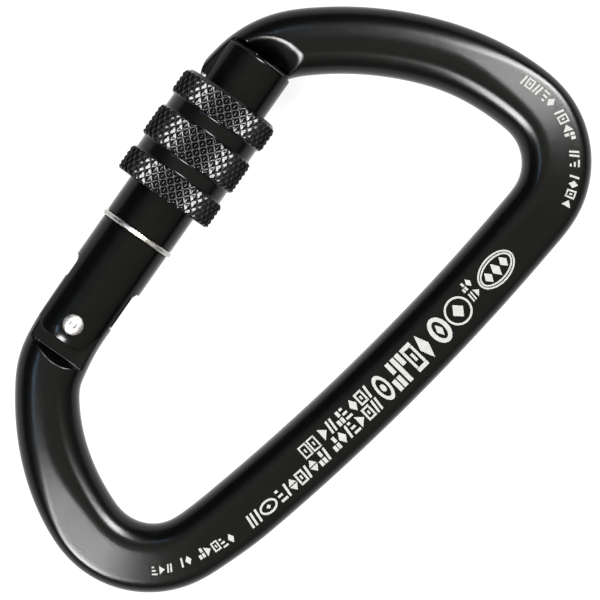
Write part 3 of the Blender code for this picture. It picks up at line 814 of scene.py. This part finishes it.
def make_sleeve(material):
    """Three knurled bands and two plain grooves outside, bore and counterbore inside."""
    columns = KNURL_COUNT * 18
    angles = np.linspace(0.0, 2 * math.pi, columns, endpoint=False)
    rows = []

    def plain(points):
        for radius, s in points:
            rows.append((np.full(columns, radius), np.full(columns, s)))

    fillet = 0.3
    foot = BAND_RADIUS - BAND_CHAMFER - 0.05
    for index, (low, high) in enumerate(BANDS):
        top_chamfer = RIM_CHAMFER if index == 2 else BAND_CHAMFER
        for s in np.linspace(low, high, round((high - low) / 0.1) + 1):
            at = np.full(columns, s)
            radius = BAND_RADIUS - KNURL_DEPTH + knurl(at, angles)
            radius = soft_min(radius, band_envelope(at, low, high, top_chamfer), 0.08)
            rows.append((radius, at))
        if index < 2:
            following = BANDS[index + 1][0]
            groove = [(foot, high + 0.005)]
            for a in np.linspace(math.pi / 2, 0.0, 6):
                across, along = fillet * (1 - math.cos(a)), fillet * (1 - math.sin(a))
                groove.append((PLAIN_RADIUS + across, high + along))
            plain(groove)
            plain([(radius, following - (s - high)) for radius, s in reversed(groove)])
    step = SLEEVE_END - COUNTERBORE_DEPTH
    mouth, cone, start_chamfer = 0.1, 0.6, 0.3
    plain([(COUNTERBORE_RADIUS + mouth, SLEEVE_END), (COUNTERBORE_RADIUS, SLEEVE_END - mouth)])
    plain([(COUNTERBORE_RADIUS, step), (SLEEVE_BORE, step - cone)])
    plain([(SLEEVE_BORE, SLEEVE_START + start_chamfer), (SLEEVE_BORE + start_chamfer, SLEEVE_START)])
    points = []
    for radius, s in rows:
        points.append(np.stack([radius * np.cos(angles), radius * np.sin(angles), s], -1))
    points = np.array(points)
    faces = grid_faces(len(rows), columns, True)
    sleeve = new_object("sleeve_fine", placed(points.reshape(-1, 3), BARREL), faces, 40.0)
    mark_grooves(sleeve)
    return dress(sleeve, material, "sleeve", ["locking_sleeve"])


# ---------------------------------------------------------------- materials
def shader_of(name):
    material = bpy.data.materials.new(name)
    material.use_nodes = True
    tree = material.node_tree
    return material, tree, tree.nodes["Principled BSDF"]


def texture_place(tree):
    return tree.nodes.new("ShaderNodeTexCoord").outputs["Object"]


def noise(tree, vector, scale, detail=4.0, roughness=0.55):
    node = tree.nodes.new("ShaderNodeTexNoise")
    node.inputs["Scale"].default_value = scale
    node.inputs["Detail"].default_value = detail
    node.inputs["Roughness"].default_value = roughness
    tree.links.new(vector, node.inputs["Vector"])
    return node.outputs["Fac"]


def remap(tree, value, low, high, to_low, to_high):
    node = tree.nodes.new("ShaderNodeMapRange")
    for socket, number in zip(("From Min", "From Max", "To Min", "To Max"), (low, high, to_low, to_high)):
        node.inputs[socket].default_value = number
    tree.links.new(value, node.inputs["Value"])
    return node.outputs["Result"]


def cloudy(tree, value):
    """A noise value stretched so that it runs over the whole of 0 to 1."""
    return remap(tree, value, 0.3, 0.7, 0.0, 1.0)


def blend_colours(tree, factor, first, second):
    node = tree.nodes.new("ShaderNodeMix")
    node.data_type = "RGBA"
    node.inputs["A"].default_value = (*first, 1.0)
    node.inputs["B"].default_value = (*second, 1.0)
    tree.links.new(factor, node.inputs["Factor"])
    return node.outputs["Result"]


def add_bump(tree, shader, height, strength, distance):
    node = tree.nodes.new("ShaderNodeBump")
    node.inputs["Strength"].default_value = strength
    node.inputs["Distance"].default_value = distance
    tree.links.new(height, node.inputs["Height"])
    tree.links.new(node.outputs["Normal"], shader.inputs["Normal"])


def anodised(name, dark, light, rough_low, rough_high, grain, bump, groove_highlight=None):
    """Black anodised aluminium: cloudy dye, uneven gloss, a fine blasted grain, and a painted highlight
    along the knurl's groove bottoms.
    """
    material, tree, shader = shader_of(name)
    vector = texture_place(tree)
    cloud = noise(tree, vector, 260.0, 5.0)
    fine = noise(tree, vector, grain, 3.0, 0.7)
    colour = blend_colours(tree, cloudy(tree, cloud), dark, light)
    # paint a paler colour near the knurl's groove bottoms, a painted highlight
    if groove_highlight:
        groove = tree.nodes.new("ShaderNodeAttribute")
        groove.attribute_name = "groove"
        mix = tree.nodes.new("ShaderNodeMix")
        mix.data_type = "RGBA"
        mix.inputs["B"].default_value = (*groove_highlight, 1.0)
        tree.links.new(groove.outputs["Fac"], mix.inputs["Factor"])
        tree.links.new(colour, mix.inputs["A"])
        colour = mix.outputs["Result"]
    tree.links.new(colour, shader.inputs["Base Color"])
    tree.links.new(remap(tree, fine, 0.25, 0.75, rough_low, rough_high), shader.inputs["Roughness"])
    shader.inputs["IOR"].default_value = ANODISED_IOR
    add_bump(tree, shader, fine, bump, 0.00004)
    return material


def steel(name, colour, roughness, grain):
    """Bright steel, a little cloudy, with a fine grain."""
    material, tree, shader = shader_of(name)
    cloud = noise(tree, texture_place(tree), grain, 4.0)
    darker = tuple(c * 0.8 for c in colour)
    mixed = blend_colours(tree, cloudy(tree, cloud), darker, colour)
    tree.links.new(mixed, shader.inputs["Base Color"])
    gloss = remap(tree, cloud, 0.3, 0.7, roughness * 0.8, roughness * 1.3)
    tree.links.new(gloss, shader.inputs["Roughness"])
    shader.inputs["Metallic"].default_value = 1.0
    add_bump(tree, shader, cloud, 0.12, 0.00003)
    return material


def ink(name, colour):
    """Matt printed ink, a little uneven."""
    material, tree, shader = shader_of(name)
    cloud = noise(tree, texture_place(tree), 1800.0, 4.0)
    darker = tuple(c * 0.85 for c in colour)
    mixed = blend_colours(tree, cloudy(tree, cloud), darker, colour)
    tree.links.new(mixed, shader.inputs["Base Color"])
    shader.inputs["Roughness"].default_value = 0.6
    shader.inputs["IOR"].default_value = 1.1
    return material


# ---------------------------------------------------------------- the studio
def make_floor():
    """A pale floor just under the sleeve, which gives off light of its own to stay near white."""
    size, level = 1.2, -9.25 * MM
    grey, lighter = (0.030,) * 3, (0.034,) * 3
    mesh = bpy.data.meshes.new("floor")
    corners = [(-size, -size, level), (size, -size, level), (size, size, level), (-size, size, level)]
    mesh.from_pydata(corners, [], [(0, 1, 2, 3)])
    floor = bpy.data.objects.new("floor", mesh)
    bpy.context.scene.collection.objects.link(floor)
    material, tree, shader = shader_of("floor_white")
    cloud = noise(tree, texture_place(tree), 30.0, 3.0)
    tree.links.new(blend_colours(tree, cloud, grey, lighter), shader.inputs["Base Color"])
    shader.inputs["Roughness"].default_value = 0.9
    shader.inputs["Emission Color"].default_value = (1.0, 1.0, 1.0, 1.0)
    shader.inputs["Emission Strength"].default_value = FLOOR_GLOW
    mesh.materials.append(material)


def towards(azimuth, off_vertical):
    """Unit vector from the object, by its azimuth and its angle off the vertical in degrees."""
    a, b = math.radians(azimuth), math.radians(off_vertical)
    return Vector((math.sin(b) * math.cos(a), math.sin(b) * math.sin(a), math.cos(b)))


def soft_box(name, azimuth, off_vertical, size, radiance, tint=(1.0, 1.0, 1.0)):
    """An area light seen from the object at that azimuth and angle off the vertical."""
    light = bpy.data.lights.new(name, "AREA")
    light.shape = "RECTANGLE"
    light.size, light.size_y = size
    light.energy = radiance * math.pi * size[0] * size[1]
    light.color = tint
    obj = bpy.data.objects.new(name, light)
    direction = towards(azimuth, off_vertical)
    obj.location = direction * BOX_DISTANCE
    obj.rotation_euler = direction.to_track_quat("Z", "Y").to_euler()
    bpy.context.scene.collection.objects.link(obj)


def make_world(bright, dark, azimuth, off_vertical):
    """A dim room with one broad lighter part of its ceiling."""
    world = bpy.data.worlds.new("studio")
    world.use_nodes = True
    tree = world.node_tree
    place = tree.nodes.new("ShaderNodeTexCoord")
    likeness = tree.nodes.new("ShaderNodeVectorMath")
    likeness.operation = "DOT_PRODUCT"
    likeness.inputs[1].default_value = towards(azimuth, off_vertical)
    tree.links.new(place.outputs["Generated"], likeness.inputs[0])
    share = remap(tree, likeness.outputs["Value"], 0.1, 0.95, 0.0, 1.0)
    share.node.interpolation_type = "SMOOTHSTEP"
    tree.links.new(blend_colours(tree, share, dark, bright), tree.nodes["Background"].inputs["Color"])
    bpy.context.scene.world = world


def make_camera():
    """Straight above the object, turned as in the photo."""
    camera = bpy.data.cameras.new("camera")
    camera.sensor_width = SENSOR_WIDTH
    camera.lens = SENSOR_WIDTH * CAMERA_HEIGHT / VIEW_WIDTH
    camera.clip_end = 10.0
    obj = bpy.data.objects.new("camera", camera)
    obj.location = (VIEW_CENTRE[0], VIEW_CENTRE[1], CAMERA_HEIGHT)
    obj.rotation_euler = (0.0, 0.0, VIEW_TURN)
    bpy.context.scene.collection.objects.link(obj)
    bpy.context.scene.camera = obj


satin_black = anodised("satin_black", *DYE, 0.19, 0.25, 3600.0, 0.45)
turned_black = anodised("turned_black", *DYE, 0.16, 0.22, 7000.0, 0.05)
knurled_black = anodised("knurled_black", *KNURL_DYE, 0.13, 0.21, 9000.0, 0.15, KNURL_GROOVE_HIGHLIGHT)
bright_steel = steel("bright_steel", (0.36, 0.35, 0.33), 0.25, 1500.0)
peened_steel = steel("peened_steel", (0.20, 0.195, 0.185), 0.45, 2500.0)
spring_steel = steel("spring_steel", (0.2, 0.2, 0.2), 0.3, 2500.0)
pusher_steel = steel("pusher_steel", (0.2, 0.2, 0.2), 0.35, 2500.0)
mark_ink = ink("mark_ink", (0.085, 0.084, 0.079))

make_body(satin_black)
make_marks(mark_ink)
make_gate(turned_black)
make_rivet(peened_steel)
make_ring(bright_steel)
make_sleeve(knurled_black)
make_spring(spring_steel)
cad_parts["spring_pusher"].data.materials.clear()
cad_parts["spring_pusher"].data.materials.append(pusher_steel)

make_floor()
make_world((1.36, 1.30, 1.18), (0.13, 0.14, 0.18), 266.0, 25.0)
soft_box("box_right", 4.0, 44.0, (0.29, 0.50), 122.0)
soft_box("box_left", 185.0, 44.0, (0.30, 0.50), 122.0)
soft_box("strip_hinge", 132.0, 36.0, (0.30, 0.05), 42.0, COOL)
soft_box("strip_nose", 62.0, 36.0, (0.12, 0.05), 42.0, COOL)
make_camera()
bpy.context.scene.view_settings.view_transform = "Standard"
